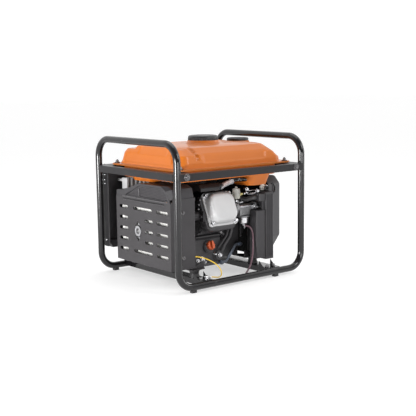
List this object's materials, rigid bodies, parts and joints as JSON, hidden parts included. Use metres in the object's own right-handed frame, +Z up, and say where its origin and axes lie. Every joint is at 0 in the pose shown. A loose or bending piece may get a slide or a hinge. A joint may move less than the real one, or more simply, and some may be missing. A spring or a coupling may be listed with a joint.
{
  "type": "portable inverter generator",
  "caption": "Open-frame portable generator: tubular roll frame, sheet-metal fuel tank, single-cylinder engine, slotted muffler guard, recoil starter and control panel.",
  "frame": {"origin": "centre of the footprint, on the ground under the feet", "axes": "+Z up, +X along the frame towards the recoil starter end, +Y towards the control panel; the valve cover faces -Y"},
  "size_m": [0.53, 0.465, 0.46],
  "materials": {
    "frame_paint": "gloss",
    "rail_paint": "satin",
    "tank_paint": "gloss",
    "black_plastic": "matte",
    "grey_plastic": "satin",
    "rubber": "matte",
    "cast_aluminium": "satin",
    "dark_cast": "satin",
    "sheet_black": "satin",
    "zinc": "satin",
    "steel": "machined",
    "aluminised": "satin",
    "red_plastic": "gloss",
    "hose_brown": "satin",
    "wire_yellow": "gloss",
    "clear_plastic": "translucent",
    "ceramic": "glazed",
    "mesh_black": "satin"
  },
  "bodies": {
    "generator": {"frame_hoop_left": "frame_paint", "frame_hoop_right": "frame_paint", "side_rails": "rail_paint", "end_rails": "rail_paint", "cross_members": "frame_paint", "engine_mounts": "rubber", "mount_brackets": "sheet_black", "frame_feet": "rubber", "frame_bolts": "zinc", "tank_mount_rubbers": "rubber", "fuel_hoses": "rubber", "engine_bolts": "zinc", "panel_outlets": "black_plastic", "drain_hose": "hose_brown", "ground_wire": "wire_yellow", "tank_upper_shell": "tank_paint", "tank_lower_shell": "tank_paint", "fuel_gauge": "black_plastic", "fuel_valve_body": "zinc", "fuel_filter": "clear_plastic", "muffler": "aluminised", "exhaust_outlet": "steel", "muffler_guard": "sheet_black", "guard_top_cover": "black_plastic", "guard_mesh": "mesh_black", "crankcase": "dark_cast", "crankcase_cover": "dark_cast", "cylinder_head": "cast_aluminium", "valve_cover": "cast_aluminium", "spark_plug": "ceramic", "spark_plug_boot": "rubber", "ignition_lead": "rubber", "piston": "cast_aluminium", "stator": "steel", "cooling_shroud": "sheet_black", "blower_housing": "black_plastic", "shroud_stay": "zinc", "recoil_cover": "grey_plastic", "starter_rope": "rubber", "carburettor": "dark_cast", "air_filter_base": "black_plastic", "air_filter_cover": "black_plastic", "breather_hose": "rubber", "control_panel": "black_plastic", "inverter_module": "cast_aluminium"},
    "fuel_cap": {"fuel_cap_plug": "grey_plastic"},
    "fuel_cap_grip": {"fuel_cap_grip": "black_plastic"},
    "fuel_valve_lever": {"fuel_valve_lever": "zinc"},
    "throttle_lever": {"throttle_lever": "zinc"},
    "oil_cap": {"oil_cap": "red_plastic"},
    "starter_handle": {"starter_handle": "black_plastic"},
    "starter_pulley": {"starter_pulley": "black_plastic"},
    "crankshaft": {"crankshaft": "steel", "rotor": "steel", "cooling_fan": "black_plastic"},
    "connecting_rod": {"connecting_rod": "cast_aluminium"},
    "engine_switch": {"engine_switch": "black_plastic"},
    "eco_switch": {"eco_switch": "black_plastic"},
    "breaker_button": {"breaker_button": "black_plastic"}
  },
  "joints": [
    {"name": "fuel_cap_lift", "type": "slide", "parent": "generator", "child": "fuel_cap", "axis": [0, 0, 1], "range_m": [0, 0.06]},
    {"name": "fuel_cap_turn", "type": "hinge", "parent": "fuel_cap", "child": "fuel_cap_grip", "pos_m": [0.003, -0.015, 0.44], "axis": [0, 0, 1], "continuous": true},
    {"name": "fuel_valve_turn", "type": "hinge", "parent": "generator", "child": "fuel_valve_lever", "pos_m": [0.16, -0.13, 0.281], "axis": [0, -1, 0], "range_deg": [0, 90]},
    {"name": "throttle_turn", "type": "hinge", "parent": "generator", "child": "throttle_lever", "pos_m": [0.058, -0.11052, 0.21677], "axis": [0, 0, 1], "range_deg": [0, 60]},
    {"name": "oil_cap_turn", "type": "hinge", "parent": "generator", "child": "oil_cap", "pos_m": [-0.043, -0.101, 0.108], "axis": [0, -0.9404, 0.3401], "continuous": true},
    {"name": "starter_pull", "type": "slide", "parent": "generator", "child": "starter_handle", "axis": [1, 0, 0], "range_m": [0, 0.7], "deforming": ["starter_rope"]},
    {"name": "starter_pulley_spin", "type": "hinge", "parent": "generator", "child": "starter_pulley", "pos_m": [0.204, 0.035, 0.15], "axis": [-1, 0, 0], "range_deg": [0, 860]},
    {"name": "crank_spin", "type": "hinge", "parent": "generator", "child": "crankshaft", "pos_m": [0, 0.035, 0.15], "axis": [1, 0, 0], "continuous": true},
    {"name": "connecting_rod_pivot", "type": "hinge", "parent": "crankshaft", "child": "connecting_rod", "pos_m": [-0.027, 0.00959, 0.16052], "axis": [1, 0, 0], "continuous": true},
    {"name": "engine_switch_turn", "type": "hinge", "parent": "generator", "child": "engine_switch", "pos_m": [0.16, 0.216, 0.25], "axis": [0, -1, 0], "range_deg": [0, 90]},
    {"name": "eco_switch_rock", "type": "hinge", "parent": "generator", "child": "eco_switch", "pos_m": [0.09, 0.2139, 0.262], "axis": [1, 0, 0], "range_deg": [0, 12]},
    {"name": "breaker_push", "type": "slide", "parent": "generator", "child": "breaker_button", "axis": [0, -1, 0], "range_m": [0, 0.003], "stiffness_N_per_m": 600}
  ],
  "couplings": [
    {"joint": "starter_pulley_spin", "follows": "starter_pull", "rad_per_m": 21.186},
    {"joint": "connecting_rod_pivot", "follows": "crank_spin", "ratio": -1}
  ]
}
